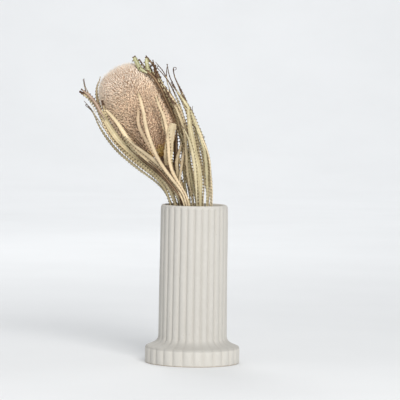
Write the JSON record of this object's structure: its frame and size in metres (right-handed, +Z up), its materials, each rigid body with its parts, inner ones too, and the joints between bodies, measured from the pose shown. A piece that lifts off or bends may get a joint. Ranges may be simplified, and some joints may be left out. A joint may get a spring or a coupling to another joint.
{
  "type": "dried banksia in vase",
  "caption": "Dried banksia flower head with long toothed leaves, leaning out of a straight fluted ceramic vase on a wide round foot.",
  "frame": {"origin": "middle of the flat round underside of the vase's foot, which is where the object stands", "axes": "+Z up along the vase, +X right in the front view, so that the flower head leans towards -X, +Y away from the viewer"},
  "size_m": [0.2067, 0.1332, 0.386],
  "materials": {
    "vase_ceramic": "matte off-white glaze, faintly speckled",
    "stem_wood": "dry dark brown bark",
    "bract_wool": "orange-brown woolly bracts",
    "floret_felt": "dry peach-coloured florets, felt-like",
    "leaf_cream": "dry cream leaf",
    "leaf_khaki": "dry khaki leaf",
    "leaf_olive": "dry dull olive leaf",
    "leaf_brown": "dry brown leaf"
  },
  "bodies": {
    "root": {"bract_cushion": "bract_wool", "flower_head": "floret_felt", "leaf_back_1": "leaf_khaki", "leaf_back_2": "leaf_cream", "leaf_back_3": "leaf_olive", "leaf_back_4": "leaf_khaki", "leaf_back_5": "leaf_cream", "leaf_back_6": "leaf_olive", "leaf_back_7": "leaf_khaki", "leaf_behind_1": "leaf_brown", "leaf_behind_2": "leaf_olive", "leaf_blunt_broad": "leaf_khaki", "leaf_cradle_1": "leaf_khaki", "leaf_cradle_2": "leaf_khaki", "leaf_cradle_3": "leaf_olive", "leaf_crossing_1": "leaf_cream", "leaf_crossing_2": "leaf_khaki", "leaf_head_side_1": "leaf_brown", "leaf_head_side_2": "leaf_olive", "leaf_head_side_3": "leaf_khaki", "leaf_head_side_4": "leaf_brown", "leaf_inner_1": "leaf_olive", "leaf_inner_2": "leaf_khaki", "leaf_inner_3": "leaf_olive", "leaf_inner_4": "leaf_khaki", "leaf_left_strand_1": "leaf_khaki", "leaf_left_strand_2": "leaf_cream", "leaf_outer_edge": "leaf_olive", "leaf_over_head_1": "leaf_cream", "leaf_over_head_2": "leaf_cream", "leaf_over_head_3": "leaf_cream", "leaf_over_head_4": "leaf_khaki", "leaf_pale_front_1": "leaf_cream", "leaf_pale_front_2": "leaf_cream", "leaf_right_strand": "leaf_cream", "leaf_tall_tip_1": "leaf_olive", "leaf_tall_tip_2": "leaf_khaki", "leaf_tall_tip_3": "leaf_khaki", "leaf_upright_1": "leaf_cream", "leaf_upright_2": "leaf_khaki", "stem": "stem_wood", "vase": "vase_ceramic"}
  },
  "joints": []
}
